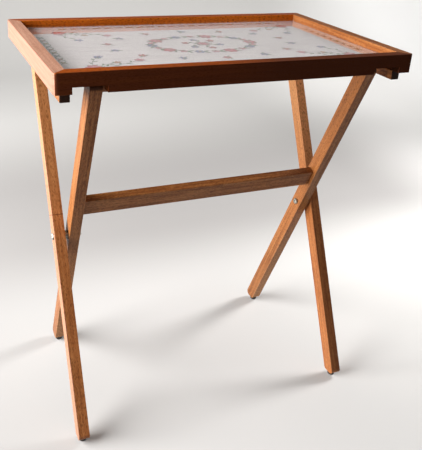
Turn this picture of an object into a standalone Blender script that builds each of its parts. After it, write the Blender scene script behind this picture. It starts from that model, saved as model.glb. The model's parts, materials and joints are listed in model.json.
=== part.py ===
"""Folding tray table: a framed tray with glass over cloth, on two pairs of crossed legs.

Metres, +Z up. The origin is on the floor under the middle of the tray. The front of the table faces -Y.
"""
from math import atan2, cos, hypot, pi, sin, tan

import bmesh
import bpy
from mathutils import Matrix, Vector

# Tray, outside sizes
TRAY_WIDTH = 0.600
TRAY_DEPTH = 0.372
TABLE_HEIGHT = 0.668
RAIL_HEIGHT = 0.031
RAIL_THICKNESS = 0.020
CORNER_RADIUS = 0.008
RIM_ROUNDING = 0.0025

# What the rails hold, from the top down
GLASS_RECESS = 0.012
GLASS_THICKNESS = 0.003
GLASS_ARRIS = 0.0004
CLOTH_THICKNESS = 0.0006
BOARD_THICKNESS = 0.003
GROOVE_DEPTH = 0.006
PANE_PLAY = 0.0008
BOARD_PLAY = 0.0005

# Notches in the front rail
NOTCH_LIP = 0.0012
NOTCH_SIDE_PLAY = 0.002

# Battens under the tray ends
BATTEN_WIDTH = 0.015
BATTEN_HEIGHT = 0.015
BATTEN_INSET = 0.011
BATTEN_END_INSET = 0.015
BATTEN_ROUNDING = 0.0008

# Legs
LEG_THICKNESS = 0.019
LEG_DEPTH = 0.0265
LEG_EDGE_ROUNDING = 0.0012
LEG_TOP_RADIUS = 0.009
LEG_TOE_RADIUS = 0.008
LEG_HEEL_RADIUS = 0.005
HINGE_TOP_SHARE = 0.48
FILLET_SHARE = 0.45
HINGE_SETBACK = 0.049
FRONT_FOOT_INSET = 0.0145
PIVOT_HEIGHT = 0.327
HINGE_SPACE = 0.004
SCISSOR_SPACE = 0.006

# Stretcher between the inner legs
STRETCHER_HEIGHT = 0.0345
STRETCHER_THICKNESS = 0.015
STRETCHER_RISE = 0.0765
STRETCHER_SETBACK = 0.006
STRETCHER_ROUNDING = 0.001
STRETCHER_TENON = 0.022

# Top bar between the inner legs, which catches behind the front rail
TOP_BAR_HEIGHT = 0.0125
TOP_BAR_THICKNESS = 0.014
TOP_BAR_DROP = 0.001
TOP_BAR_SETBACK = 0.00325
TOP_BAR_ROUNDING = 0.002
TOP_BAR_TENON = 0.007

# Stub tenons of both bars
TENON_LENGTH = 0.010
TENON_THICKNESS = 0.008

# Pivot and hinge hardware
BOLT_RADIUS = 0.003
BOLT_HEAD_RADIUS = 0.0065
BOLT_HEAD_HEIGHT = 0.0032
BOLT_HEAD_RIM = 0.0008
BOLT_END_PLAY = 0.0008
PIVOT_NUT_RADIUS = 0.0058
PIVOT_NUT_HEIGHT = 0.0055
HINGE_NUT_RADIUS = 0.0058
HINGE_NUT_HEIGHT = 0.0042
NUT_CROWN = 0.0014
NUT_RIM = 0.002
SPACER_RADIUS = 0.008

# Batten screws
SCREW_HEAD_RADIUS = 0.0032
SCREW_HEAD_HEIGHT = 0.0018
SCREW_HEAD_RIM = 0.0002
SCREW_RADIUS = 0.0016
SCREW_POINT = 0.0024
SCREW_GRIP = 0.008
SCREW_END_INSET = 0.045
SCREWS_PER_BATTEN = 3

# Foot glides
GLIDE_RADIUS = 0.007
GLIDE_FLAT_RADIUS = 0.006
GLIDE_HEIGHT = 0.008
GLIDE_RIM_LOW = 0.0015
GLIDE_RIM_HIGH = 0.0072
GLIDE_EASE = 0.0008

# Clearances between neighbouring pieces
SEAT_GAP = 0.0003
BORE_GAP = 0.0003
MITRE_SHIFT = 0.0002
STOP_GAP = 0.0004

ARC_STEPS = 6
TURN_STEPS = 20
SCREW_STEPS = 12
DOME_STEPS = 4
LEAN_PASSES = 40
SHARP_ANGLE = 0.6
UPRIGHT_LIMIT = 0.1
CUT_MARGIN = 0.004
WELD_DISTANCE = 0.000001
TURN_MERGE = 0.00001
EMPTY_SIZE = 0.03

# Levels that follow from the sizes above
RAIL_BOTTOM = TABLE_HEIGHT - RAIL_HEIGHT
GLASS_TOP = TABLE_HEIGHT - GLASS_RECESS
GLASS_BOTTOM = GLASS_TOP - GLASS_THICKNESS
CLOTH_TOP = GLASS_BOTTOM - SEAT_GAP
CLOTH_BOTTOM = CLOTH_TOP - CLOTH_THICKNESS
BOARD_TOP = CLOTH_BOTTOM - SEAT_GAP
BOARD_BOTTOM = BOARD_TOP - BOARD_THICKNESS
GROOVE_TOP = BOARD_TOP + SEAT_GAP
GROOVE_BOTTOM = BOARD_BOTTOM - SEAT_GAP
NOTCH_TOP = GROOVE_BOTTOM - NOTCH_LIP
BATTEN_TOP = RAIL_BOTTOM - SEAT_GAP
BATTEN_BOTTOM = BATTEN_TOP - BATTEN_HEIGHT

# Stations across the table, measured in from the tray's end
BATTEN_INNER = BATTEN_INSET + BATTEN_WIDTH
OUTER_LEG_OUTER = BATTEN_INNER + HINGE_SPACE
OUTER_LEG_INNER = OUTER_LEG_OUTER + LEG_THICKNESS
INNER_LEG_OUTER = OUTER_LEG_INNER + SCISSOR_SPACE
INNER_LEG_INNER = INNER_LEG_OUTER + LEG_THICKNESS
NOTCH_OUTER = BATTEN_INNER - SEAT_GAP
NOTCH_INNER = INNER_LEG_INNER + NOTCH_SIDE_PLAY

HALF_WIDTH = TRAY_WIDTH / 2
HALF_DEPTH = TRAY_DEPTH / 2
FRONT = -HALF_DEPTH
BACK = HALF_DEPTH
RAIL_BACK_FACE = FRONT + RAIL_THICKNESS


def hinge_point():
    """Axis of the tray hinges, as (y, z)."""
    return BACK - HINGE_SETBACK, BATTEN_TOP - BATTEN_HEIGHT / 2


def outer_leg_line():
    """Front foot point on the floor and the leg's lean from upright, top towards the back."""
    hinge_y, hinge_z = hinge_point()
    foot_y = FRONT + FRONT_FOOT_INSET
    return foot_y, atan2(hinge_y - foot_y, hinge_z)


def pivot_point():
    """Axis of the scissor pivots, on the outer leg's centre line, as (y, z)."""
    foot_y, lean = outer_leg_line()
    return foot_y + PIVOT_HEIGHT * tan(lean), PIVOT_HEIGHT


def leg_top_radius():
    """Rounding of an inner leg's top, limited by the leg's depth."""
    return min(LEG_TOP_RADIUS, LEG_DEPTH * FILLET_SHARE)


def inner_leg_line():
    """Lean and length above the pivot that bring the rounded top to the board and to the front rail."""
    pivot_y, pivot_z = pivot_point()
    radius = leg_top_radius()
    rise = BOARD_BOTTOM - STOP_GAP - radius - pivot_z
    reach = pivot_y - radius - (RAIL_BACK_FACE + STOP_GAP)
    side = LEG_DEPTH / 2 - radius
    lean = atan2(reach, rise)
    for _ in range(LEAN_PASSES):
        lean = atan2(reach - side * cos(lean), rise - side * sin(lean))
    length = (rise - side * sin(lean)) / cos(lean) + radius
    return lean, length


def clear_scene():
    for item in list(bpy.data.objects):
        bpy.data.objects.remove(item, do_unlink=True)


def new_collection(name):
    group = bpy.data.collections.get(name) or bpy.data.collections.new(name)
    if group.name not in bpy.context.scene.collection.children:
        bpy.context.scene.collection.children.link(group)
    return group


def new_material(name, colour, roughness, metallic=0.0, alpha=1.0):
    look = bpy.data.materials.get(name) or bpy.data.materials.new(name)
    look.use_nodes = True
    shader = look.node_tree.nodes["Principled BSDF"]
    shader.inputs["Base Color"].default_value = (*colour, 1.0)
    shader.inputs["Roughness"].default_value = roughness
    shader.inputs["Metallic"].default_value = metallic
    shader.inputs["Alpha"].default_value = alpha
    look.diffuse_color = (*colour, alpha)
    return look


def axis_empty(name, location, group):
    """An empty on a joint's axis that carries the pieces which turn about it."""
    empty = bpy.data.objects.new(name, None)
    empty.location = location
    empty.empty_display_size = EMPTY_SIZE
    group.objects.link(empty)
    return empty


def add_piece(name, mesh, group, look, carrier, matrix=None):
    """Makes the named object and hangs it on its carrier without moving it."""
    piece = bpy.data.objects.new(name, mesh)
    if look is not None:
        mesh.materials.clear()
        mesh.materials.append(look)
    group.objects.link(piece)
    world = matrix if matrix is not None else Matrix.Identity(4)
    if carrier is not None:
        piece.parent = carrier
        piece.matrix_parent_inverse = Matrix.Translation(carrier.location).inverted()
    piece.matrix_basis = world
    return piece


def box_mesh(name, size):
    work = bmesh.new()
    bmesh.ops.create_cube(work, size=1.0, matrix=Matrix.Diagonal((*size, 1.0)))
    mesh = bpy.data.meshes.new(name)
    work.to_mesh(mesh)
    work.free()
    return mesh


def box_between(name, low, high, group, look, carrier):
    size = [b - a for a, b in zip(low, high)]
    middle = [(a + b) / 2 for a, b in zip(low, high)]
    return add_piece(name, box_mesh(name, size), group, look, carrier, Matrix.Translation(middle))


def rod_mesh(name, radius, length, steps=TURN_STEPS):
    work = bmesh.new()
    bmesh.ops.create_cone(work, cap_ends=True, segments=steps, radius1=radius, radius2=radius, depth=length)
    mesh = bpy.data.meshes.new(name)
    work.to_mesh(mesh)
    work.free()
    return mesh


def outline_mesh(name, outlines, thickness):
    """A flat outline, filled and given a thickness along its local Z."""
    curve = bpy.data.curves.new(name, "CURVE")
    curve.dimensions = "2D"
    curve.fill_mode = "BOTH"
    curve.extrude = thickness / 2
    for points in outlines:
        spline = curve.splines.new("POLY")
        spline.points.add(len(points) - 1)
        for slot, (x, y) in zip(spline.points, points):
            slot.co = (x, y, 0.0, 1.0)
        spline.use_cyclic_u = True
    holder = bpy.data.objects.new(name + "_outline", curve)
    bpy.context.scene.collection.objects.link(holder)
    graph = bpy.context.evaluated_depsgraph_get()
    mesh = bpy.data.meshes.new_from_object(holder.evaluated_get(graph))
    bpy.data.objects.remove(holder, do_unlink=True)
    bpy.data.curves.remove(curve)
    work = bmesh.new()
    work.from_mesh(mesh)
    bmesh.ops.remove_doubles(work, verts=work.verts, dist=WELD_DISTANCE)
    bmesh.ops.recalc_face_normals(work, faces=work.faces)
    work.to_mesh(mesh)
    work.free()
    mesh.name = name
    return mesh


def filleted(corners, radii, steps=ARC_STEPS):
    """The outline through the corners with each one rounded to its radius."""
    points = []
    count = len(corners)
    for index, corner in enumerate(corners):
        here = Vector(corner)
        before = (Vector(corners[index - 1]) - here).normalized()
        after = (Vector(corners[(index + 1) % count]) - here).normalized()
        radius = radii[index]
        if radius <= 0:
            points.append((here.x, here.y))
            continue
        half = before.angle(after) / 2
        run = radius / tan(half)
        centre = here + (before + after).normalized() * (radius / sin(half))
        start = here + before * run - centre
        finish = here + after * run - centre
        sweep = start.angle_signed(finish)
        for step in range(steps + 1):
            angle = -sweep * step / steps
            x = start.x * cos(angle) - start.y * sin(angle)
            y = start.x * sin(angle) + start.y * cos(angle)
            points.append((centre.x + x, centre.y + y))
    return points


def turned_mesh(name, profile, steps=TURN_STEPS):
    """Turns a profile of (radius, height) points about the local Z axis."""
    work = bmesh.new()
    verts = [work.verts.new((radius, 0.0, height)) for radius, height in profile]
    for first, second in zip(verts, verts[1:]):
        work.edges.new((first, second))
    if profile[0][0] > 0:
        work.edges.new((verts[-1], verts[0]))
    mesh = bpy.data.meshes.new(name)
    work.to_mesh(mesh)
    work.free()
    holder = bpy.data.objects.new(name + "_profile", mesh)
    bpy.context.scene.collection.objects.link(holder)
    screw = holder.modifiers.new("turn", "SCREW")
    screw.axis = "Z"
    screw.angle = 2 * pi
    screw.steps = steps
    screw.render_steps = steps
    screw.use_merge_vertices = True
    screw.merge_threshold = TURN_MERGE
    graph = bpy.context.evaluated_depsgraph_get()
    solid = bpy.data.meshes.new_from_object(holder.evaluated_get(graph))
    bpy.data.objects.remove(holder, do_unlink=True)
    bpy.data.meshes.remove(mesh)
    work = bmesh.new()
    work.from_mesh(solid)
    bmesh.ops.remove_doubles(work, verts=work.verts, dist=WELD_DISTANCE)
    bmesh.ops.recalc_face_normals(work, faces=work.faces)
    work.to_mesh(solid)
    work.free()
    solid.name = name
    solid.shade_smooth()
    solid.set_sharp_from_angle(angle=SHARP_ANGLE)
    return solid


def dome(radius, base, height, steps=DOME_STEPS):
    """Profile points of a low dome, from its crown at the axis to its rim."""
    points = [(0.0, base + height)]
    for step in range(1, steps + 1):
        angle = pi / 2 * step / steps
        points.append((radius * sin(angle), base + height * cos(angle)))
    return points


def bolt_profile(shank_length):
    """Domed head above z = 0, plain shank below."""
    rim = [(BOLT_HEAD_RADIUS, 0.0), (BOLT_RADIUS, 0.0), (BOLT_RADIUS, -shank_length), (0.0, -shank_length)]
    head = dome(BOLT_HEAD_RADIUS, BOLT_HEAD_RIM, BOLT_HEAD_HEIGHT - BOLT_HEAD_RIM)
    return head + rim


def nut_profile(radius, height):
    """Cap nut with a blind bore, its open face at z = 0."""
    crown = dome(radius, NUT_RIM, height - NUT_RIM)
    bore = BOLT_RADIUS + BORE_GAP
    depth = height - NUT_CROWN
    return crown + [(radius, 0.0), (bore, 0.0), (bore, depth), (0.0, depth)]


def spacer_profile(thickness):
    """Plain ring that keeps two neighbours apart on their bolt."""
    bore = BOLT_RADIUS + BORE_GAP
    return [(bore, 0.0), (SPACER_RADIUS, 0.0), (SPACER_RADIUS, thickness), (bore, thickness)]


def screw_profile():
    """Countersunk screw, head down at z = 0, point up."""
    length = BATTEN_HEIGHT + SEAT_GAP + SCREW_GRIP
    neck = SCREW_HEAD_HEIGHT
    return [(0.0, length), (SCREW_RADIUS, length - SCREW_POINT), (SCREW_RADIUS, neck),
            (SCREW_HEAD_RADIUS, SCREW_HEAD_RIM), (SCREW_HEAD_RADIUS, 0.0), (0.0, 0.0)]


def glide_profile():
    """Foot button with its flat underside at z = 0 and a rim that is eased above and below."""
    return [(0.0, GLIDE_HEIGHT), (GLIDE_RADIUS - GLIDE_EASE, GLIDE_HEIGHT), (GLIDE_RADIUS, GLIDE_RIM_HIGH),
            (GLIDE_RADIUS, GLIDE_RIM_LOW), (GLIDE_FLAT_RADIUS, 0.0), (0.0, 0.0)]


def add_bevel(piece, width, segments=2, method="ANGLE"):
    edge = piece.modifiers.new("eased edges", "BEVEL")
    edge.width = width
    edge.segments = segments
    edge.limit_method = method
    edge.use_clamp_overlap = True
    return edge


def add_cut(piece, cutter, operation="DIFFERENCE"):
    cut = piece.modifiers.new(cutter.name, "BOOLEAN")
    cut.operation = operation
    cut.object = cutter
    return cut


def make_cutter(name, mesh, cutters, matrix):
    cutter = add_piece(name, mesh, cutters, None, None, matrix)
    cutter.hide_render = True
    cutter.display_type = "WIRE"
    return cutter


def box_cutter(name, low, high, cutters):
    size = [b - a for a, b in zip(low, high)]
    middle = [(a + b) / 2 for a, b in zip(low, high)]
    return make_cutter(name, box_mesh(name, size), cutters, Matrix.Translation(middle))


def cross_bore(name, side, point, cutters):
    """A bolt's bore across the table, long enough for every piece of one end."""
    length = INNER_LEG_INNER + 2 * CUT_MARGIN
    middle = side * (HALF_WIDTH - INNER_LEG_INNER / 2)
    matrix = Matrix.Translation((middle, *point)) @ Matrix.Rotation(pi / 2, 4, "Y")
    return make_cutter(name, rod_mesh(name, BOLT_RADIUS + BORE_GAP, length), cutters, matrix)


def station(side, inset):
    """World X of a distance in from the left (-1) or right (+1) end of the tray."""
    return side * (HALF_WIDTH - inset)


def span(side, near, far):
    """World X of two insets, in rising order."""
    return sorted((station(side, near), station(side, far)))


def tray_ring_mesh():
    """The whole tray frame in one ring, with its upper edges marked for rounding."""
    w, d = HALF_WIDTH, HALF_DEPTH
    outside = filleted([(-w, -d), (w, -d), (w, d), (-w, d)], [CORNER_RADIUS] * 4)
    w -= RAIL_THICKNESS
    d -= RAIL_THICKNESS
    inside = [(-w, -d), (w, -d), (w, d), (-w, d)]
    ring = outline_mesh("tray_ring", [outside, inside], RAIL_HEIGHT)
    work = bmesh.new()
    work.from_mesh(ring)
    weight = work.edges.layers.float.new("bevel_weight_edge")
    top = RAIL_HEIGHT / 2
    for edge in work.edges:
        level = all(abs(vert.co.z - top) < WELD_DISTANCE for vert in edge.verts)
        upright = any(abs(face.normal.z) < UPRIGHT_LIMIT for face in edge.link_faces)
        if level and upright:
            edge[weight] = 1.0
    work.to_mesh(ring)
    work.free()
    return ring


def mitre_wedge(name, along_x, sign, cutters):
    """A prism whose slanted ends are the mitre planes of one rail."""
    near = RAIL_THICKNESS + CUT_MARGIN
    far = -CUT_MARGIN
    if along_x:
        half, reach = HALF_WIDTH, HALF_DEPTH
    else:
        half, reach = HALF_DEPTH, HALF_WIDTH
    shift = MITRE_SHIFT
    corners = [(-half + far + shift, -reach + far), (half - far - shift, -reach + far),
               (half - near - shift, -reach + near), (-half + near + shift, -reach + near)]
    if not along_x:
        corners = [(y, x) for x, y in corners][::-1]
    if sign > 0:
        corners = [(-x, -y) for x, y in corners]
    mesh = outline_mesh(name, [corners], RAIL_HEIGHT + 2 * CUT_MARGIN)
    return make_cutter(name, mesh, cutters, Matrix.Translation((0, 0, RAIL_BOTTOM + RAIL_HEIGHT / 2)))


def build_tray(parts, cutters, looks, carrier):
    ring = tray_ring_mesh()
    middle = Matrix.Translation((0, 0, RAIL_BOTTOM + RAIL_HEIGHT / 2))
    groove_w = HALF_WIDTH - RAIL_THICKNESS + GROOVE_DEPTH
    groove_d = HALF_DEPTH - RAIL_THICKNESS + GROOVE_DEPTH
    groove = box_cutter("groove_cutter", (-groove_w, -groove_d, GROOVE_BOTTOM),
                        (groove_w, groove_d, GROOVE_TOP), cutters)
    rails = {}
    for name, along_x, sign in (("front_rail", True, -1), ("back_rail", True, 1),
                                ("left_rail", False, -1), ("right_rail", False, 1)):
        rail = add_piece(name, ring.copy(), parts, looks["rail"], carrier, middle)
        add_bevel(rail, RIM_ROUNDING, 3, "WEIGHT")
        add_cut(rail, mitre_wedge(name + "_mitre", along_x, sign, cutters), "INTERSECT")
        add_cut(rail, groove)
        rails[name] = rail

    for side, word in ((-1, "left"), (1, "right")):
        low_x, high_x = span(side, NOTCH_OUTER, NOTCH_INNER)
        notch = box_cutter(word + "_notch_cutter", (low_x, FRONT - CUT_MARGIN, RAIL_BOTTOM - CUT_MARGIN),
                           (high_x, RAIL_BACK_FACE + CUT_MARGIN, NOTCH_TOP), cutters)
        add_cut(rails["front_rail"], notch)

    board_w = groove_w - BOARD_PLAY
    board_d = groove_d - BOARD_PLAY
    box_between("backing_board", (-board_w, -board_d, BOARD_BOTTOM), (board_w, board_d, BOARD_TOP),
                parts, looks["board"], carrier)
    pane_w = HALF_WIDTH - RAIL_THICKNESS - PANE_PLAY
    pane_d = HALF_DEPTH - RAIL_THICKNESS - PANE_PLAY
    box_between("embroidered_cloth", (-pane_w, -pane_d, CLOTH_BOTTOM), (pane_w, pane_d, CLOTH_TOP),
                parts, looks["cloth"], carrier)
    pane = box_between("glass_pane", (-pane_w, -pane_d, GLASS_BOTTOM), (pane_w, pane_d, GLASS_TOP),
                       parts, looks["glass"], carrier)
    add_bevel(pane, GLASS_ARRIS, 1)
    return rails


def build_batten(side, word, rails, bore, parts, cutters, looks, carrier):
    low_x, high_x = span(side, BATTEN_INSET, BATTEN_INNER)
    batten = box_between(word + "_batten", (low_x, FRONT + BATTEN_END_INSET, BATTEN_BOTTOM),
                         (high_x, BACK - BATTEN_END_INSET, BATTEN_TOP), parts, looks["rail"], carrier)
    add_bevel(batten, BATTEN_ROUNDING, 1)
    add_cut(batten, bore)

    # The screws stand in the part of the batten that lies under the side rail.
    x = station(side, (BATTEN_INSET + RAIL_THICKNESS) / 2)
    first = FRONT + BATTEN_END_INSET + SCREW_END_INSET
    last = BACK - BATTEN_END_INSET - SCREW_END_INSET
    hole_length = BATTEN_HEIGHT + SEAT_GAP + SCREW_GRIP + 2 * BORE_GAP
    head_depth = SCREW_HEAD_HEIGHT + 2 * SEAT_GAP
    for index in range(SCREWS_PER_BATTEN):
        y = first + (last - first) * index / (SCREWS_PER_BATTEN - 1)
        tag = f"{word}_batten_screw_{index + 1}"
        add_piece(tag, turned_mesh(tag, screw_profile(), SCREW_STEPS), parts, looks["steel"], carrier,
                  Matrix.Translation((x, y, BATTEN_BOTTOM + SEAT_GAP)))
        shank = rod_mesh(tag + "_hole", SCREW_RADIUS + BORE_GAP, hole_length + CUT_MARGIN, SCREW_STEPS)
        top = BATTEN_BOTTOM + SEAT_GAP + hole_length
        hole = make_cutter(tag + "_hole", shank, cutters,
                           Matrix.Translation((x, y, top - (hole_length + CUT_MARGIN) / 2)))
        head = rod_mesh(tag + "_head", SCREW_HEAD_RADIUS + BORE_GAP, head_depth + CUT_MARGIN, SCREW_STEPS)
        head_middle = BATTEN_BOTTOM + (head_depth - CUT_MARGIN) / 2
        sink = make_cutter(tag + "_head", head, cutters, Matrix.Translation((x, y, head_middle)))
        add_cut(batten, hole)
        add_cut(batten, sink)
        add_cut(rails[word + "_rail"], hole)
    return batten


def foot_radii():
    """Roundings of a foot's sharp corner and of its blunt one, limited by the leg's depth."""
    limit = LEG_DEPTH * FILLET_SHARE
    return min(LEG_TOE_RADIUS, limit), min(LEG_HEEL_RADIUS, limit)


def leg_mesh(name, below, above, lean, top_radius):
    """A leg seen from its side, pivot at the origin, upright, its foot cut level with the floor.

    below is the distance from the pivot down to the foot on the centre line. lean is positive when the
    top goes towards the back.
    """
    half = LEG_DEPTH / 2
    skew = half * tan(lean)
    toe_radius, heel_radius = foot_radii()
    front_radius, back_radius = (toe_radius, heel_radius) if lean > 0 else (heel_radius, toe_radius)
    corners = [(-half, -below - skew), (half, -below + skew), (half, above), (-half, above)]
    radii = [front_radius, back_radius, top_radius, top_radius]
    mesh = outline_mesh(name, [filleted(corners, radii)], LEG_THICKNESS)
    # The outline's X is the leg's depth (Y) and its Y is the leg's length (Z); its thickness runs along X.
    mesh.transform(Matrix(((0, 0, 1, 0), (1, 0, 0, 0), (0, 1, 0, 0), (0, 0, 0, 1))))
    return mesh


def leg_matrix(x, pivot, lean):
    return Matrix.Translation((x, *pivot)) @ Matrix.Rotation(-lean, 4, "X")


def build_leg(name, x, lean, above, top_radius, bores, parts, look, carrier):
    pivot = pivot_point()
    foot_level = GLIDE_HEIGHT + SEAT_GAP
    below = (pivot[1] - foot_level) / cos(lean)
    mesh = leg_mesh(name, below, above, lean, top_radius)
    leg = add_piece(name, mesh, parts, look, carrier, leg_matrix(x, pivot, lean))
    add_bevel(leg, LEG_EDGE_ROUNDING, 2)
    for bore in bores:
        add_cut(leg, bore)
    return leg


def foot_y(lean):
    """World Y of the middle of the flat that the two roundings leave under the foot."""
    pivot_y, pivot_z = pivot_point()
    toe_radius, heel_radius = foot_radii()
    toe = toe_radius / tan((pi / 2 - abs(lean)) / 2)
    heel = heel_radius / tan((pi / 2 + abs(lean)) / 2)
    shift = (toe - heel) / 2 if lean > 0 else (heel - toe) / 2
    return pivot_y - (pivot_z - GLIDE_HEIGHT) * tan(lean) + shift


def build_glide(name, x, lean, parts, looks, carrier):
    mesh = turned_mesh(name, glide_profile())
    return add_piece(name, mesh, parts, looks["glide"], carrier, Matrix.Translation((x, foot_y(lean), 0)))


def along_x(x, point, side):
    """A turned piece's place with its local Z pointing out of the table's left or right end."""
    return Matrix.Translation((x, *point)) @ Matrix.Rotation(side * pi / 2, 4, "Y")


def build_fastening(kind, side, word, point, start, finish, nut, space, parts, looks, carrier):
    """Bolt from an outer face to an inner face, with a spacer in the gap and a cap nut at its end.

    start and finish are the insets of the two clamped faces, and space holds the insets of the gap.
    """
    radius, height = nut
    shank = finish - start + 2 * SEAT_GAP + height - NUT_CROWN - BOLT_END_PLAY
    head = station(side, start - SEAT_GAP)
    bolt = turned_mesh(f"{kind}_bolt", bolt_profile(shank))
    add_piece(f"{kind}_bolt_{word}", bolt, parts, looks["steel"], carrier, along_x(head, point, side))
    end = station(side, finish + SEAT_GAP)
    cap = turned_mesh(f"{kind}_nut", nut_profile(radius, height))
    add_piece(f"{kind}_nut_{word}", cap, parts, looks["steel"], carrier, along_x(end, point, -side))
    near, far = space
    ring = turned_mesh(f"{kind}_spacer", spacer_profile(far - near - 2 * SEAT_GAP))
    rest = station(side, near + SEAT_GAP)
    add_piece(f"{kind}_spacer_{word}", ring, parts, looks["steel"], carrier, along_x(rest, point, -side))


def build_bar(name, section, setback, rise, rounding, tenon_height,
              legs, lean, parts, cutters, look, carrier):
    """Bar between the inner legs, set in line with them, with a stub tenon at each end.

    section is its thickness and height, setback its distance behind the legs' front and rise the height of
    its middle above the pivot, along the legs.
    """
    thickness, height = section
    half_length = HALF_WIDTH - INNER_LEG_INNER - SEAT_GAP
    depth = LEG_DEPTH / 2 - setback - thickness / 2
    frame = leg_matrix(0.0, pivot_point(), lean) @ Matrix.Translation((0, -depth, rise))
    bar = add_piece(name, box_mesh(name, (2 * half_length, thickness, height)), parts, look, carrier, frame)
    add_bevel(bar, rounding, 2)
    reach = half_length + TENON_LENGTH
    tenon_size = (2 * reach, TENON_THICKNESS, tenon_height)
    tenon = make_cutter(name + "_tenon", box_mesh(name + "_tenon", tenon_size), cutters, frame)
    add_cut(bar, tenon, "UNION")
    play = 2 * SEAT_GAP
    mortise_size = (2 * reach + play, TENON_THICKNESS + play, tenon_height + play)
    mortise = make_cutter(name + "_mortise", box_mesh(name + "_mortise", mortise_size), cutters, frame)
    for leg in legs:
        add_cut(leg, mortise)


def main():
    clear_scene()
    parts = new_collection("tray_table")
    cutters = new_collection("tray_table_cutters")
    looks = {
        "rail": new_material("tray_wood", (0.16, 0.055, 0.02), 0.35),
        "leg": new_material("leg_wood", (0.26, 0.10, 0.04), 0.38),
        "board": new_material("board_wood", (0.42, 0.28, 0.16), 0.7),
        "cloth": new_material("cloth_linen", (0.62, 0.58, 0.55), 0.9),
        "glass": new_material("pane_glass", (0.8, 0.85, 0.84), 0.03, alpha=0.35),
        "steel": new_material("pivot_steel", (0.62, 0.61, 0.6), 0.3, 1.0),
        "glide": new_material("glide_black", (0.02, 0.016, 0.014), 0.5),
    }
    hinge = hinge_point()
    pivot = pivot_point()
    _, outer_lean = outer_leg_line()
    inner_lean, inner_above = inner_leg_line()

    tray_axis = axis_empty("tray_axis", (0, *hinge), parts)
    hinge_axis = axis_empty("hinge_axis", (0, *hinge), parts)
    frame_axis = axis_empty("inner_frame_axis", (0, *pivot), parts)

    rails = build_tray(parts, cutters, looks, tray_axis)
    outer_above = hypot(hinge[0] - pivot[0], hinge[1] - pivot[1]) + LEG_DEPTH / 2
    inner_legs = []
    for side, word in ((-1, "left"), (1, "right")):
        leg_axis = axis_empty(f"outer_leg_{word}_axis", (0, *pivot), parts)
        pivot_bore = cross_bore(f"pivot_bore_{word}", side, pivot, cutters)
        hinge_bore = cross_bore(f"hinge_bore_{word}", side, hinge, cutters)
        build_batten(side, word, rails, hinge_bore, parts, cutters, looks, tray_axis)
        outer_x = station(side, (OUTER_LEG_OUTER + OUTER_LEG_INNER) / 2)
        build_leg(f"outer_leg_{word}", outer_x, outer_lean, outer_above, LEG_DEPTH * HINGE_TOP_SHARE,
                  (pivot_bore, hinge_bore), parts, looks["leg"], leg_axis)
        build_glide(f"glide_front_{word}", outer_x, outer_lean, parts, looks, leg_axis)
        inner_x = station(side, (INNER_LEG_OUTER + INNER_LEG_INNER) / 2)
        inner_legs.append(build_leg(f"inner_leg_{word}", inner_x, -inner_lean, inner_above, leg_top_radius(),
                                    (pivot_bore,), parts, looks["leg"], frame_axis))
        build_glide(f"glide_back_{word}", inner_x, -inner_lean, parts, looks, frame_axis)
        build_fastening("pivot", side, word, pivot, OUTER_LEG_OUTER, INNER_LEG_INNER,
                        (PIVOT_NUT_RADIUS, PIVOT_NUT_HEIGHT), (OUTER_LEG_INNER, INNER_LEG_OUTER),
                        parts, looks, frame_axis)
        build_fastening("hinge", side, word, hinge, BATTEN_INSET, OUTER_LEG_INNER,
                        (HINGE_NUT_RADIUS, HINGE_NUT_HEIGHT), (BATTEN_INNER, OUTER_LEG_OUTER),
                        parts, looks, hinge_axis)
    build_bar("stretcher", (STRETCHER_THICKNESS, STRETCHER_HEIGHT), STRETCHER_SETBACK,
              STRETCHER_RISE, STRETCHER_ROUNDING, STRETCHER_TENON,
              inner_legs, -inner_lean, parts, cutters, looks["leg"], frame_axis)
    top_bar_rise = inner_above - TOP_BAR_DROP - TOP_BAR_HEIGHT / 2
    build_bar("top_bar", (TOP_BAR_THICKNESS, TOP_BAR_HEIGHT), TOP_BAR_SETBACK,
              top_bar_rise, TOP_BAR_ROUNDING, TOP_BAR_TENON,
              inner_legs, -inner_lean, parts, cutters, looks["leg"], frame_axis)


main()
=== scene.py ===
"""Folding tray table: varnished hardwood, plated bolts, black foot glides, and glass over needlework linen.

Metres, +Z up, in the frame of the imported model. The front of the table faces -Y.
"""
import json
from math import atan2, cos, pi, radians, sin, tan
from random import Random

import bpy
from mathutils import Matrix, Vector


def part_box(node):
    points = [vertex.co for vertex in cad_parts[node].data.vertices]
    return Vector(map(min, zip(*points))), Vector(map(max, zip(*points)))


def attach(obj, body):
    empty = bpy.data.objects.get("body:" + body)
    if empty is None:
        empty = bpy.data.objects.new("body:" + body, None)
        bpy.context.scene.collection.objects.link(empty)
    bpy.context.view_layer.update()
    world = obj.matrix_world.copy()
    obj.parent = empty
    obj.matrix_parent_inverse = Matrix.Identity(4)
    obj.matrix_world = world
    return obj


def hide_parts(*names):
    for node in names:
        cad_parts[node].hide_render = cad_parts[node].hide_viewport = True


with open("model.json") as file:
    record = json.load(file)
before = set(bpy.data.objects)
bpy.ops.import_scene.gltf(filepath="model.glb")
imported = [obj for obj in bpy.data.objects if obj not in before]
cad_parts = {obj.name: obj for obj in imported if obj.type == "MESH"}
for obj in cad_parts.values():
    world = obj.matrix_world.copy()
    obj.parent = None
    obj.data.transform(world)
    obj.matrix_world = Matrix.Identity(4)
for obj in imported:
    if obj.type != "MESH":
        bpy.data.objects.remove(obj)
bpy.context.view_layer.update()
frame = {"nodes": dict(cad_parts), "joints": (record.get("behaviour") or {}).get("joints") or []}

MM = 0.001

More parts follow.
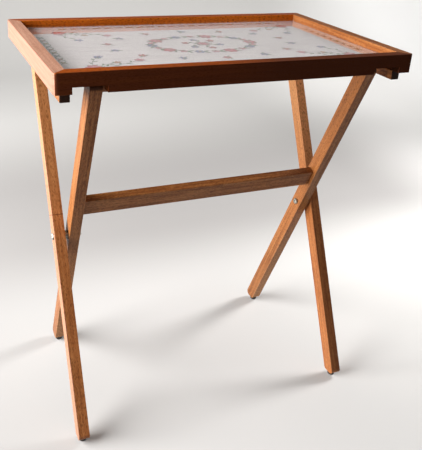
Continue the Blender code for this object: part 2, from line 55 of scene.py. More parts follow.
# Camera of the photograph: place in metres, angles in radians, lens on a sensor of SENSOR_MM along the height
CAMERA_PLACE = (-0.4815, -1.0399, 0.9068)
CAMERA_YAW = 0.425
CAMERA_PITCH = 0.409
CAMERA_ROLL = 0.059
CAMERA_LENS_MM = 53.45
SENSOR_MM = 36.0
CAMERA_SHIFT = (0.0481, -0.1149)

# Places that follow from the frame, and the lean of the legs from upright, top towards the back, in radians
JOINT_PLACE = {joint["name"]: Vector(joint["pos_m"]) for joint in frame["joints"]}
PIVOT = JOINT_PLACE["leg_fold"]
HINGE = JOINT_PLACE["hinge_turn"]
OUTER_LEAN = atan2(HINGE.y - PIVOT.y, HINGE.z - PIVOT.z)
INNER_LEAN = -0.4276
CLOTH_LOW, CLOTH_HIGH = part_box("embroidered_cloth")
FRONT_LOW, FRONT_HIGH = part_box("front_rail")
SIDES = ("left", "right")

# Grain turned so that it runs along each kind of piece
GRAIN_ALONG_X = (0.0, -pi / 2, 0.0)
GRAIN_ALONG_Y = (pi / 2, 0.0, 0.0)
GRAIN_OUTER_LEG = (OUTER_LEAN, 0.0, 0.0)
GRAIN_INNER_LEG = (INNER_LEAN, 0.0, 0.0)

# Welding, shading and rounding of copies of the solids
WELD = 0.001 * MM
FLAT_ANGLE = radians(0.5)
SMOOTH_ANGLE = radians(38)
FLATS_WEIGHT = 100
CORNER_ROUNDING = 3.0 * MM
RIM_ROUNDING = 1.3 * MM
CORNER_STEPS = 6
RIM_STEPS = 4
STAND_OFF = 0.02 * MM
NEAR = 0.05 * MM

# Cloth, and stitches on it
CLOTH_THICKNESS = 0.3 * MM
CLOTH_CELLS = (56, 34)
CLOTH_RIPPLE = 0.04 * MM
CLOTH_RIPPLE_LENGTH = 90 * MM
STITCH_RELIEF = 0.26 * MM
STITCH_SINK = 0.05 * MM
STITCH_LEVEL = CLOTH_LOW.z + CLOTH_THICKNESS
STEM_WIDTH = 1.1 * MM
STEM_RELIEF = 0.6 * STITCH_RELIEF

# A hairline across the left outer leg: height of its middle, width and how far it wanders
HAIRLINE_HEIGHT = 0.3607
HAIRLINE_WIDTH = 1.1 * MM
HAIRLINE_WANDER = 2.0 * MM

# A wave texture of scale 1 draws this many bands to the unit.
BANDS_PER_UNIT = 20 / (2 * pi)

# Sockets of a Mix node that share their names: share, two colours, mixed colour, and two numbers
MIX_SHARE = 0
MIX_UNDER = 6
MIX_OVER = 7
MIX_COLOUR = 2
MIX_FIRST = 2
MIX_SECOND = 3


def linear(code):
    """An sRGB hex colour as linear values, opaque."""
    shares = [int(code[i:i + 2], 16) / 255 for i in (1, 3, 5)]
    return tuple(s / 12.92 if s <= 0.04045 else ((s + 0.055) / 1.055) ** 2.4 for s in shares) + (1.0,)


def per_mm(millimetres):
    """Pattern scale for a feature of this size."""
    return 1.0 / (millimetres * MM)


def tone_stops(positions, codes):
    """Stops of a colour ramp from their positions and hex colours."""
    return [(position, linear(code)) for position, code in zip(positions, codes)]


def add_node(tree, kind, inputs=None, stops=None, **settings):
    """Adds a node, sets its properties, fills its colour ramp and sets or links its inputs."""
    node = tree.nodes.new(kind)
    for name, value in settings.items():
        setattr(node, name, value)
    if stops:
        elements = node.color_ramp.elements
        while len(elements) < len(stops):
            elements.new(1.0)
        for element, (position, colour) in zip(elements, stops):
            element.position = position
            element.color = colour
    for name, value in (inputs or {}).items():
        if isinstance(value, bpy.types.NodeSocket):
            tree.links.new(value, node.inputs[name])
        else:
            node.inputs[name].default_value = value
    return node


def new_look(name, **sockets):
    """A material with a Principled shader, its even values set on the shader's own sockets."""
    look = bpy.data.materials.new(name)
    look.use_nodes = True
    shader = look.node_tree.nodes["Principled BSDF"]
    for socket, value in sockets.items():
        shader.inputs[socket.replace("_", " ")].default_value = value
    return look, look.node_tree, shader


# Varnished hardwood: warm brown with short fine pores, quiet streaks and rubbed edges under a satin varnish

TRAY_TONES = {"dark": "#783107", "mid": "#9A450D", "light": "#AF5816", "pore": "#482006", "worn": "#B36A2A"}
# Paler tones of the left rail: painted light for the strong light on its top and outside
LIT_LEFT_RAIL_TONES = {"dark": "#AC7A63", "mid": "#BA8870", "light": "#CA9A80", "pore": "#9A6B54", "worn": "#D9B19C"}
INNER_TONES = {"dark": "#6A3B1B", "mid": "#88522A", "light": "#9E683A", "pore": "#482812", "worn": "#B07C4C"}
OUTER_TONES = {"dark": "#804A26", "mid": "#9F5F33", "light": "#B37544", "pore": "#5C331A", "worn": "#C48E5E"}

# Patterns along the grain: size across and along in millimetres, then the noise's detail and roughness.
# Pores are drawn about three times their real width, so that they show at the photograph's size.
WOOD_PATTERNS = {
    "streaks": ((4.2, 120.0), 3.0, 0.6),
    "figure": ((26.0, 210.0), 2.0, 0.5),
    "pores": ((1.0, 5.5), 1.0, 0.5),
    "mottle": ((6.0, 12.0), 2.0, 0.6),
}
# The streaks' value for each tone, then the values at which a pattern starts and is full, and its share
STREAK_STOPS = {"dark": 0.33, "mid": 0.49, "light": 0.68}
PATTERN_REACH = {"figure": (0.4, 0.75, 0.45), "mottle": (0.52, 0.75, 0.6), "pores": (0.52, 0.64, 0.65)}

# Rubbed edges: width, and how closely a rounded edge still faces its flat where the wear starts and is full
EDGE_WIDTH = 1.4 * MM
EDGE_SAMPLES = 4
EDGE_FACING = (0.99, 0.86)
EDGE_SHARE = 0.6

# Varnish: gloss, the roughness of dark and light streaks, and the relief of the grain
VARNISH_IOR = 1.5
VARNISH_ROUGHNESS = 0.18
LEG_GLOSS = 0.11
RAIL_GLOSS = 0.03
FRONT_GLOSS = 0.01
STREAK_SPAN = (0.3, 0.7)
STREAK_ROUGHNESS = (0.5, 0.36)
GRAIN_RELIEF = {"Strength": 0.2, "Distance": 0.15 * MM}


def varnished_hardwood(name, turn, tones, gloss=LEG_GLOSS, painted_light_and_tones=(), hairline=False):
    """Streaked wood with figure, mottle, worn edges, painted light and shade with other tones, and pores laid
    over it in that order.
    """
    look, tree, shader = new_look(name, IOR=VARNISH_IOR, Specular_IOR_Level=gloss, Coat_Weight=gloss,
                                  Coat_Roughness=VARNISH_ROUGHNESS, Coat_IOR=VARNISH_IOR)
    place = add_node(tree, "ShaderNodeTexCoord").outputs["Object"]
    grain = add_node(tree, "ShaderNodeMapping", {"Vector": place, "Rotation": turn}).outputs[0]
    patterns = {}
    for pattern, ((across, along), detail, roughness) in WOOD_PATTERNS.items():
        stretched = add_node(tree, "ShaderNodeMapping", {
            "Vector": grain, "Scale": (per_mm(across), per_mm(across), per_mm(along))}).outputs[0]
        patterns[pattern] = add_node(tree, "ShaderNodeTexNoise", {
            "Vector": stretched, "Scale": 1.0, "Detail": detail, "Roughness": roughness}).outputs["Fac"]
    shares = {}
    for pattern, (start, full, share) in PATTERN_REACH.items():
        shares[pattern] = add_node(tree, "ShaderNodeMapRange", {
            "Value": patterns[pattern], "From Min": start, "From Max": full, "To Max": share}).outputs[0]

    # Edges rubbed lighter, broken up by the mottle
    rounded = add_node(tree, "ShaderNodeBevel", {"Radius": EDGE_WIDTH}, samples=EDGE_SAMPLES).outputs[0]
    true_normal = add_node(tree, "ShaderNodeNewGeometry").outputs["Normal"]
    facing = add_node(tree, "ShaderNodeVectorMath", {0: rounded, 1: true_normal}, operation="DOT_PRODUCT")
    edge = add_node(tree, "ShaderNodeMapRange", {
        "Value": facing.outputs["Value"], "From Min": EDGE_FACING[0], "From Max": EDGE_FACING[1],
        "To Max": EDGE_SHARE}).outputs[0]
    worn = add_node(tree, "ShaderNodeMath", {0: edge, 1: patterns["mottle"]}, operation="MULTIPLY").outputs[0]

    layers = [(shares["figure"], tones["dark"]), (shares["mottle"], tones["light"]), (worn, tones["worn"])]
    straight = add_node(tree, "ShaderNodeSeparateXYZ", {"Vector": place}).outputs
    turned = add_node(tree, "ShaderNodeSeparateXYZ", {"Vector": grain}).outputs
    for tone, share, ranges in painted_light_and_tones:
        for axis, full, gone in ranges:
            level = turned["Y"] if axis == "depth" else straight[axis]
            share = add_node(tree, "ShaderNodeMapRange", {
                "Value": level, "From Min": full, "From Max": gone,
                "To Min": share, "To Max": 0.0}).outputs[0]
        layers.append((share, tone))
    layers.append((shares["pores"], tones["pore"]))
    if hairline:
        middle_y = PIVOT.y + (HAIRLINE_HEIGHT - PIVOT.z) * tan(OUTER_LEAN)
        level = middle_y * sin(OUTER_LEAN) + HAIRLINE_HEIGHT * cos(OUTER_LEAN)
        wander = add_node(tree, "ShaderNodeMath", {
            0: patterns["mottle"], 1: HAIRLINE_WANDER, 2: turned["Z"]}, operation="MULTIPLY_ADD").outputs[0]
        crack = add_node(tree, "ShaderNodeMath", {
            0: wander, 1: level + HAIRLINE_WANDER / 2, 2: HAIRLINE_WIDTH / 2}, operation="COMPARE").outputs[0]
        layers.append((crack, tones["pore"]))

    colour = add_node(tree, "ShaderNodeValToRGB", {"Fac": patterns["streaks"]}, stops=[
        (stop, linear(tones[tone])) for tone, stop in STREAK_STOPS.items()]).outputs["Color"]
    for share, tone in layers:
        mixed = add_node(tree, "ShaderNodeMix", {
            MIX_SHARE: share, MIX_UNDER: colour, MIX_OVER: linear(tone)}, data_type="RGBA")
        colour = mixed.outputs[MIX_COLOUR]
    tree.links.new(colour, shader.inputs["Base Color"])
    polish = add_node(tree, "ShaderNodeMapRange", {
        "Value": patterns["streaks"], "From Min": STREAK_SPAN[0], "From Max": STREAK_SPAN[1],
        "To Min": STREAK_ROUGHNESS[0], "To Max": STREAK_ROUGHNESS[1]}).outputs[0]
    tree.links.new(polish, shader.inputs["Roughness"])
    relief = add_node(tree, "ShaderNodeMath", {
        0: patterns["streaks"], 1: shares["pores"]}, operation="SUBTRACT").outputs[0]
    bump = add_node(tree, "ShaderNodeBump", {"Height": relief, **GRAIN_RELIEF})
    tree.links.new(bump.outputs[0], shader.inputs["Normal"])
    return look


# Plywood: pale rotary-cut veneer, dry and open, with long soft figure

PLY_TONES = ("#A67F55", "#C9A77C")
PLY_STOPS = (0.38, 0.62)
# Figure and fibre: size across and along in millimetres, and share
PLY_PATTERNS = (((26.0, 240.0), 0.65), ((1.4, 40.0), 0.35))
PLY_RELIEF = {"Strength": 0.3, "Distance": 0.1 * MM}


def bare_plywood():
    look, tree, shader = new_look("bare_plywood", Roughness=0.75)
    place = add_node(tree, "ShaderNodeTexCoord").outputs["Object"]
    grain = add_node(tree, "ShaderNodeMapping", {"Vector": place, "Rotation": GRAIN_ALONG_X}).outputs[0]
    blend = 0.0
    for (across, along), share in PLY_PATTERNS:
        stretched = add_node(tree, "ShaderNodeMapping", {
            "Vector": grain, "Scale": (per_mm(across), per_mm(across), per_mm(along))}).outputs[0]
        pattern = add_node(tree, "ShaderNodeTexNoise", {
            "Vector": stretched, "Scale": 1.0, "Detail": 3.0}).outputs["Fac"]
        blend = add_node(tree, "ShaderNodeMath", {
            0: pattern, 1: share, 2: blend}, operation="MULTIPLY_ADD").outputs[0]
    colour = add_node(tree, "ShaderNodeValToRGB", {"Fac": blend}, stops=tone_stops(PLY_STOPS, PLY_TONES))
    tree.links.new(colour.outputs["Color"], shader.inputs["Base Color"])
    bump = add_node(tree, "ShaderNodeBump", {"Height": pattern, **PLY_RELIEF})
    tree.links.new(bump.outputs[0], shader.inputs["Normal"])
    return look


# Window glass: clear and polished, nearly without colour, mirroring the rails at a low angle

GLASS_TINT = "#FBFAFA"


def window_glass():
    look, tree, shader = new_look("window_glass", Roughness=0.0, IOR=1.5, Transmission_Weight=1.0)
    shader.inputs["Base Color"].default_value = linear(GLASS_TINT)
    clear = add_node(tree, "ShaderNodeBsdfTransparent", {"Color": linear(GLASS_TINT)})
    path = add_node(tree, "ShaderNodeLightPath")
    # Lamps reach the cloth straight through the pane, by their own rays and by those that leave the cloth.
    surface = shader.outputs[0]
    for ray in ("Is Shadow Ray", "Is Diffuse Ray"):
        surface = add_node(tree, "ShaderNodeMixShader", {
            0: path.outputs[ray], 1: surface, 2: clear.outputs[0]}).outputs[0]
    tree.links.new(surface, tree.nodes["Material Output"].inputs["Surface"])
    return look


# Bleached linen: matt plain weave with slubs, threads drawn four times as coarse as real so that they show

LINEN_TONES = ("#C9C2C0", "#E2DCDA")
LINEN_STOPS = (0.45, 0.95)
LINEN_THREAD_MM = 2.0
LINEN_SLUB_MM = (5.0, 45.0)
LINEN_CLOUD_MM = 80.0
LINEN_WEAVE_SHARE = 0.35
LINEN_CLOUD_SHARE = 0.35
LINEN_RELIEF = {"Strength": 0.4, "Distance": 0.06 * MM}


def bleached_linen():
    look, tree, shader = new_look("bleached_linen", Roughness=0.9, Sheen_Weight=0.15)
    place = add_node(tree, "ShaderNodeTexCoord").outputs["Object"]
    weave = []
    for direction in ("X", "Y"):
        threads = add_node(tree, "ShaderNodeTexWave", {
            "Vector": place, "Scale": per_mm(LINEN_THREAD_MM) / BANDS_PER_UNIT,
            "Distortion": 0.6, "Detail": 1.0}, bands_direction=direction)
        weave.append(threads.outputs["Fac"])
    cross = add_node(tree, "ShaderNodeMath", {0: weave[0], 1: weave[1]}, operation="MULTIPLY").outputs[0]
    thick, long = LINEN_SLUB_MM
    slub_place = add_node(tree, "ShaderNodeMapping", {
        "Vector": place, "Scale": (per_mm(long), per_mm(thick), per_mm(thick))}).outputs[0]
    slubs = add_node(tree, "ShaderNodeTexNoise", {
        "Vector": slub_place, "Scale": 1.0, "Detail": 2.0}).outputs["Fac"]
    cloud = add_node(tree, "ShaderNodeTexNoise", {
        "Vector": place, "Scale": per_mm(LINEN_CLOUD_MM), "Detail": 2.0}).outputs["Fac"]
    tone = slubs
    for pattern, share in ((cross, LINEN_WEAVE_SHARE), (cloud, LINEN_CLOUD_SHARE)):
        tone = add_node(tree, "ShaderNodeMath", {
            0: pattern, 1: share, 2: tone}, operation="MULTIPLY_ADD").outputs[0]
    colour = add_node(tree, "ShaderNodeValToRGB", {"Fac": tone}, stops=tone_stops(LINEN_STOPS, LINEN_TONES))
    tree.links.new(colour.outputs["Color"], shader.inputs["Base Color"])
    bump = add_node(tree, "ShaderNodeBump", {"Height": cross, **LINEN_RELIEF})
    tree.links.new(bump.outputs[0], shader.inputs["Normal"])
    return look


# Stranded cotton: satin stitches side by side, each a fine ridge with a soft sheen along it

THREADS_ACROSS = 9.0
THREAD_SHADE = 0.55
THREAD_DRIFT_MM = 14.0
THREAD_STOPS = (0.35, 0.95)
THREAD_RELIEF = {"Strength": 0.5, "Distance": 0.12 * MM}


def stranded_cotton(name, tones):
    look, tree, shader = new_look(name, Roughness=0.6, Sheen_Weight=0.05, Sheen_Roughness=0.4)
    coordinates = add_node(tree, "ShaderNodeTexCoord").outputs
    ridges = add_node(tree, "ShaderNodeTexWave", {
        "Vector": coordinates["UV"], "Scale": THREADS_ACROSS / BANDS_PER_UNIT,
        "Distortion": 0.8, "Detail": 1.0}, bands_direction="Y").outputs["Fac"]
    drift = add_node(tree, "ShaderNodeTexNoise", {
        "Vector": coordinates["Object"], "Scale": per_mm(THREAD_DRIFT_MM), "Detail": 1.0}).outputs["Fac"]
    tone = add_node(tree, "ShaderNodeMath", {
        0: ridges, 1: THREAD_SHADE, 2: drift}, operation="MULTIPLY_ADD").outputs[0]
    colour = add_node(tree, "ShaderNodeValToRGB", {"Fac": tone}, stops=tone_stops(THREAD_STOPS, tones))
    tree.links.new(colour.outputs["Color"], shader.inputs["Base Color"])
    bump = add_node(tree, "ShaderNodeBump", {"Height": ridges, **THREAD_RELIEF})
    tree.links.new(bump.outputs[0], shader.inputs["Normal"])
    return look


# Zinc-plated steel: bright grey, with fine turning marks and duller, rougher patches

ZINC_TONES = ("#85827A", "#B9B6AC")
ZINC_STOPS = (0.35, 0.6)
ZINC_PATCH_MM = 4.0
ZINC_PATCH_SPAN = (0.3, 0.7)
ZINC_ROUGHNESS = (0.6, 0.4)
ZINC_MARK_MM = 0.5
ZINC_RELIEF = {"Strength": 0.15, "Distance": 0.05 * MM}


def plated_steel():
    look, tree, shader = new_look("plated_steel", Metallic=1.0)
    place = add_node(tree, "ShaderNodeTexCoord").outputs["Object"]
    patches = add_node(tree, "ShaderNodeTexNoise", {
        "Vector": place, "Scale": per_mm(ZINC_PATCH_MM), "Detail": 3.0}).outputs["Fac"]
    marks = add_node(tree, "ShaderNodeTexNoise", {
        "Vector": place, "Scale": per_mm(ZINC_MARK_MM), "Detail": 2.0}).outputs["Fac"]
    colour = add_node(tree, "ShaderNodeValToRGB", {"Fac": patches}, stops=tone_stops(ZINC_STOPS, ZINC_TONES))
    tree.links.new(colour.outputs["Color"], shader.inputs["Base Color"])
    polish = add_node(tree, "ShaderNodeMapRange", {
        "Value": patches, "From Min": ZINC_PATCH_SPAN[0], "From Max": ZINC_PATCH_SPAN[1],
        "To Min": ZINC_ROUGHNESS[0], "To Max": ZINC_ROUGHNESS[1]}).outputs[0]
    tree.links.new(polish, shader.inputs["Roughness"])
    bump = add_node(tree, "ShaderNodeBump", {"Height": marks, **ZINC_RELIEF})
    tree.links.new(bump.outputs[0], shader.inputs["Normal"])
    return look


# Moulded nylon: near black, softly grained, with scuffed grey patches

NYLON_TONES = ("#1C1613", "#4A413B")
NYLON_STOPS = (0.5, 0.8)
NYLON_SCUFF_MM = 5.0
NYLON_GRAIN_MM = 0.7
NYLON_RELIEF = {"Strength": 0.3, "Distance": 0.05 * MM}


def moulded_nylon():
    look, tree, shader = new_look("moulded_nylon", Roughness=0.5)
    place = add_node(tree, "ShaderNodeTexCoord").outputs["Object"]
    scuffs = add_node(tree, "ShaderNodeTexNoise", {
        "Vector": place, "Scale": per_mm(NYLON_SCUFF_MM), "Detail": 3.0}).outputs["Fac"]
    grit = add_node(tree, "ShaderNodeTexNoise", {
        "Vector": place, "Scale": per_mm(NYLON_GRAIN_MM), "Detail": 1.0}).outputs["Fac"]
    colour = add_node(tree, "ShaderNodeValToRGB", {"Fac": scuffs}, stops=tone_stops(NYLON_STOPS, NYLON_TONES))
    tree.links.new(colour.outputs["Color"], shader.inputs["Base Color"])
    bump = add_node(tree, "ShaderNodeBump", {"Height": grit, **NYLON_RELIEF})
    tree.links.new(bump.outputs[0], shader.inputs["Normal"])
    return look


def make_active(piece):
    """Selects this object alone."""
    bpy.ops.object.select_all(action="DESELECT")
    piece.select_set(True)
    bpy.context.view_layer.objects.active = piece


def apply_all(piece):
    """Applies a piece's modifiers in turn."""
    make_active(piece)
    for modifier in list(piece.modifiers):
        bpy.ops.object.modifier_apply(modifier=modifier.name)


def finish_piece(piece, body, slot, *nodes):
    """Rides on its body and stands for its solids. The slot is not used."""
    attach(piece, body)
    if nodes:
        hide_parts(*nodes)


def select_edges(piece, test):
    """Goes to edit mode with those edges selected whose two ends pass a test."""
    make_active(piece)
    bpy.ops.object.mode_set(mode="EDIT")
    bpy.ops.mesh.select_mode(type="EDGE")
    bpy.ops.mesh.select_all(action="DESELECT")
    bpy.ops.object.mode_set(mode="OBJECT")
    for edge in piece.data.edges:
        start, finish = [piece.data.vertices[i].co for i in edge.vertices]
        edge.select = test(start, finish)
    bpy.ops.object.mode_set(mode="EDIT")


def round_edges(piece, test, radius, steps):
    """Rounds the edges that pass a test."""
    select_edges(piece, test)
    bpy.ops.mesh.bevel(offset=radius, segments=steps, affect="EDGES")
    bpy.ops.object.mode_set(mode="OBJECT")


def rounding_block():
    """The tray's outside as one block with rounded corners and edges. What stands out of it is planed off."""
    boxes = [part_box(side + "_rail") for side in ("front", "back", "left", "right")]
    low = Vector([min(box[0][i] for box in boxes) - STAND_OFF for i in range(3)])
    high = Vector([max(box[1][i] for box in boxes) + STAND_OFF for i in range(3)])
    bpy.ops.object.select_all(action="DESELECT")
    bpy.ops.mesh.primitive_cube_add(size=1.0)
    block = bpy.context.object
    bpy.ops.object.mode_set(mode="EDIT")
    bpy.ops.mesh.select_all(action="SELECT")
    bpy.ops.transform.resize(value=high - low)
    bpy.ops.transform.translate(value=(low + high) / 2)
    bpy.ops.object.mode_set(mode="OBJECT")
    round_edges(block, lambda start, finish: abs(start.z - finish.z) > NEAR, CORNER_ROUNDING, CORNER_STEPS)
    round_edges(block, lambda start, finish: abs(start.z - finish.z) < NEAR, RIM_ROUNDING, RIM_STEPS)
    return block


def round_rail(piece, node, block):
    """Planes a rail's outside to the rounded block and rounds the inner edge of its top."""
    trim = piece.modifiers.new("rounded outside", "BOOLEAN")
    trim.operation = "INTERSECT"
    trim.object = block
    apply_all(piece)
    low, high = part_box(node)
    across = 0 if node in ("left_rail", "right_rail") else 1
    inner = min(low[across], high[across], key=abs)

    def on_inner_edge(*ends):
        return all(abs(end.z - high.z) < NEAR and abs(end[across] - inner) < NEAR for end in ends)

    round_edges(piece, on_inner_edge, RIM_ROUNDING, RIM_STEPS)


def refined_copy(node, name, look, block=None):
    """A welded copy of a solid, flats joined and roundings smooth. A rail is planed to the block."""
    mesh = frame["nodes"][node].data.copy()
    mesh.materials.clear()
    mesh.materials.append(look)
    piece = bpy.data.objects.new(name, mesh)
    bpy.context.scene.collection.objects.link(piece)
    make_active(piece)
    bpy.ops.object.mode_set(mode="EDIT")
    bpy.ops.mesh.select_all(action="SELECT")
    bpy.ops.mesh.remove_doubles(threshold=WELD)
    bpy.ops.mesh.dissolve_limited(angle_limit=FLAT_ANGLE)
    bpy.ops.object.mode_set(mode="OBJECT")
    if block:
        round_rail(piece, node, block)
    make_active(piece)
    bpy.ops.object.shade_smooth_by_angle(angle=SMOOTH_ANGLE)
    flats = piece.modifiers.new("flats stay flat", "WEIGHTED_NORMAL")
    flats.weight = FLATS_WEIGHT
    flats.keep_sharp = True
    apply_all(piece)
    return piece


# Painted light and painted shade, with end grain and other tones: a tone and its share where it is full

# Dark brown painted shade, laid on the front rail and on the inner legs' tops
PAINTED_SHADE = "#442419"
SHADE_ON_TOP = (PAINTED_SHADE, 0.75)
SHADE_ON_FACE = (PAINTED_SHADE, 0.86)
SHADE_ON_LEG_TOP = (PAINTED_SHADE, 0.85)
# Nearly black: end grain darkened further by painted shade where the ends lie in shade
END_GRAIN_AND_SHADE = "#150A06"
NOTCH_END_GRAIN_AND_SHADE = (END_GRAIN_AND_SHADE, 0.9)
BATTEN_END_GRAIN_AND_SHADE = (END_GRAIN_AND_SHADE, 0.95)
# Painted light on the legs: paler towards the top of the outer legs and towards the bottom of the inner legs'
# fronts
PAINTED_LIGHT = "#C9915F"
PAINTED_LIGHT_LEFT = (PAINTED_LIGHT, 0.35)
PAINTED_LIGHT_RIGHT = (PAINTED_LIGHT, 0.7)
PAINTED_LIGHT_INNER = (PAINTED_LIGHT, 0.5)
PAINTED_GLOW = "#E87A22"
PAINTED_GLOW_ALL = (PAINTED_GLOW, 0.33)
PAINTED_GLOW_RIGHT = (PAINTED_GLOW, 0.5)
PAINTED_SHEEN = ("#BB947F", 0.35)
REDDENED = ("#895E53", 0.6)
PAINTED_SHADE_LOW = ("#45230F", 0.55)
PAINTED_LIGHT_HIGH = ("#F5AC74", 0.65)
PAINTED_LIGHT_AMBER = ("#C07A45", 0.32)

# Ranges of these tones: axis, where a tone is full and where it is gone, in metres
FRONT_TOP_SHADE_RANGE = ("X", 0.05, -0.05)
GLOW_RIGHT_RANGE = ("X", 0.12, -0.06)
LIGHT_LEFT_RANGE = ("Z", 0.56, 0.3)
LIGHT_RIGHT_RANGE = ("Z", 0.56, 0.34)
LIGHT_INNER_RANGE = ("Z", 0.08, 0.46)
SHADE_LOW_RANGE = ("Z", 0.2, 0.4)
LIGHT_HIGH_RANGE = ("Z", 0.52, 0.36)
AMBER_LIGHT_RANGE = ("Z", 0.3, 0.16)
TONE_DEPTH = (0.6 * MM, 2.0 * MM)
LEG_TOP_DROP = (1.2 * MM, 3.2 * MM)
NOTCH_RISE = 10.4 * MM


def below(axis, level):
    """Range of a tone on what lies below a level."""
    return axis, level + TONE_DEPTH[0], level + TONE_DEPTH[1]


def leg_front(node, lean):
    """Range of painted light and shade on a leaning leg's front. The depth goes through the leg from front to
    back.
    """
    places = [vert.co for vert in frame["nodes"][node].data.vertices]
    return below("depth", min(place.y * cos(lean) - place.z * sin(lean) for place in places))


def notch_end_grain_and_shade():
    """End grain round the two notches in the front rail, behind its face, painted nearly black as shade
    inside the notches.
    """
    roof = FRONT_LOW.z + NOTCH_RISE
    places = [vert.co for vert in frame["nodes"]["front_rail"].data.vertices]
    walls = sorted({round(place.x, 4) for place in places if abs(place.z - roof) < TONE_DEPTH[0]})
    behind = ("Y", FRONT_LOW.y + TONE_DEPTH[1], FRONT_LOW.y + TONE_DEPTH[0])
    painted_light_and_tones = []
    for low, high in (walls[:2], walls[-2:]):
        from_low = ("X", low - TONE_DEPTH[0], low - TONE_DEPTH[1])
        painted_light_and_tones.append((*NOTCH_END_GRAIN_AND_SHADE, [below("Z", roof), behind, from_low, below("X", high)]))
    return painted_light_and_tones


def rail_looks():
    """Looks of the rails and battens by node."""
    under_top = ("Z", FRONT_HIGH.z - TONE_DEPTH[1], FRONT_HIGH.z - TONE_DEPTH[0])
    front_painted_shade = [
        # Painted shade on the right part of the front rail's top, where the light from the left falls off
        (*SHADE_ON_TOP, [FRONT_TOP_SHADE_RANGE]),
        # Painted shade on the front face of the front rail
        (*SHADE_ON_FACE, [below("Y", FRONT_LOW.y)]),
        # Painted shade over the rounded corner at the front left of the front rail
        (*SHADE_ON_FACE, [below("Y", FRONT_LOW.y + CORNER_ROUNDING), below("X", FRONT_LOW.x + CORNER_ROUNDING),
                         under_top])]
    back_inside = below("Y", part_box("back_rail")[0].y)
    # Painted light on the inside face of the back rail, stronger on its right half
    back_painted_light = [(*PAINTED_GLOW_ALL, [back_inside]), (*PAINTED_GLOW_RIGHT, [back_inside, GLOW_RIGHT_RANGE])]
    # The left rail's outside face toned darker and redder than its top
    left_light_and_tones = [(*REDDENED, [below("X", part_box("left_rail")[0].x)])]
    # The battens' front ends nearly black: end grain with painted shade under the tray
    batten = varnished_hardwood("varnished_hardwood_batten", GRAIN_ALONG_Y, INNER_TONES, painted_light_and_tones=[
        (*BATTEN_END_GRAIN_AND_SHADE, [below("Y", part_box("left_batten")[0].y)])])
    return {
        "front_rail": varnished_hardwood("varnished_hardwood_front", GRAIN_ALONG_X, TRAY_TONES, FRONT_GLOSS,
                                         front_painted_shade + notch_end_grain_and_shade()),
        "back_rail": varnished_hardwood("varnished_hardwood_back", GRAIN_ALONG_X, TRAY_TONES, RAIL_GLOSS,
                                        back_painted_light),
        # The left rail in paler tones: painted light
        "left_rail": varnished_hardwood("varnished_hardwood_painted_light", GRAIN_ALONG_Y, LIT_LEFT_RAIL_TONES, RAIL_GLOSS,
                                        left_light_and_tones),
        "right_rail": varnished_hardwood("varnished_hardwood_right", GRAIN_ALONG_Y, OUTER_TONES, RAIL_GLOSS),
        "left_batten": batten,
        "right_batten": batten,
    }


def leg_looks():
    """Looks of the legs, the stretcher and the top bar by node."""
    left_light_and_tones = [
        # Painted sheen on the outside face of the left outer leg, which faces the left lamp
        (*PAINTED_SHEEN, [below("X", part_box("outer_leg_left")[0].x)]),
        # Painted light on the upper part of the left outer leg
        (*PAINTED_LIGHT_LEFT, [LIGHT_LEFT_RANGE])]
    right_front = leg_front("outer_leg_right", OUTER_LEAN)
    right_light_and_shade = [
        # Painted shade on the lower front of the right outer leg
        (*PAINTED_SHADE_LOW, [right_front, SHADE_LOW_RANGE]),
        # Painted light on the upper part of the right outer leg
        (*PAINTED_LIGHT_RIGHT, [LIGHT_RIGHT_RANGE]),
        # Painted light on the upper front of the right outer leg
        (*PAINTED_LIGHT_HIGH, [right_front, LIGHT_HIGH_RANGE])]
    inner_light_and_shade = [
        # Painted light on the lower part of the inner legs' fronts
        (*PAINTED_LIGHT_INNER, [leg_front("inner_leg_left", INNER_LEAN), LIGHT_INNER_RANGE]),
        # Painted shade on the inner legs' tops, behind the notches of the front rail
        (*SHADE_ON_LEG_TOP, [("Z", FRONT_LOW.z - LEG_TOP_DROP[0], FRONT_LOW.z - LEG_TOP_DROP[1])])]
    # Painted light on the upper part of the inner right leg's outside face
    amber_light = (*PAINTED_LIGHT_AMBER, [below("X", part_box("inner_leg_right")[0].x), AMBER_LIGHT_RANGE])
    bars = varnished_hardwood("varnished_hardwood_bars", GRAIN_ALONG_X, INNER_TONES)
    return {
        "outer_leg_left": varnished_hardwood("varnished_hardwood_left_leg", GRAIN_OUTER_LEG, OUTER_TONES,
                                             painted_light_and_tones=left_light_and_tones, hairline=True),
        "outer_leg_right": varnished_hardwood("varnished_hardwood_right_leg", GRAIN_OUTER_LEG, OUTER_TONES,
                                              painted_light_and_tones=right_light_and_shade),
        "inner_leg_left": varnished_hardwood("varnished_hardwood_inner_left", GRAIN_INNER_LEG, INNER_TONES,
                                             painted_light_and_tones=inner_light_and_shade),
        "inner_leg_right": varnished_hardwood("varnished_hardwood_inner_right", GRAIN_INNER_LEG, INNER_TONES,
                                              painted_light_and_tones=[amber_light] + inner_light_and_shade),
        "stretcher": bars,
        "top_bar": bars,
    }


def dress_wood():
    """Rails, battens, legs, stretcher and top bar."""
    looks = rail_looks() | leg_looks()
    block = rounding_block()
    for node in ("front_rail", "back_rail", "left_rail", "right_rail"):
        finish_piece(refined_copy(node, node + "_wood", looks[node], block), "tray", "tray_wood", node)
    bpy.data.objects.remove(block)
    for node in ("left_batten", "right_batten"):
        finish_piece(refined_copy(node, node + "_wood", looks[node]), "tray", "tray_wood", node)
    for node in ("outer_leg_left", "outer_leg_right"):
        finish_piece(refined_copy(node, node + "_wood", looks[node]), node, "leg_wood", node)
    for node in ("inner_leg_left", "inner_leg_right", "stretcher", "top_bar"):
        finish_piece(refined_copy(node, node + "_wood", looks[node]), "inner_frame", "leg_wood", node)


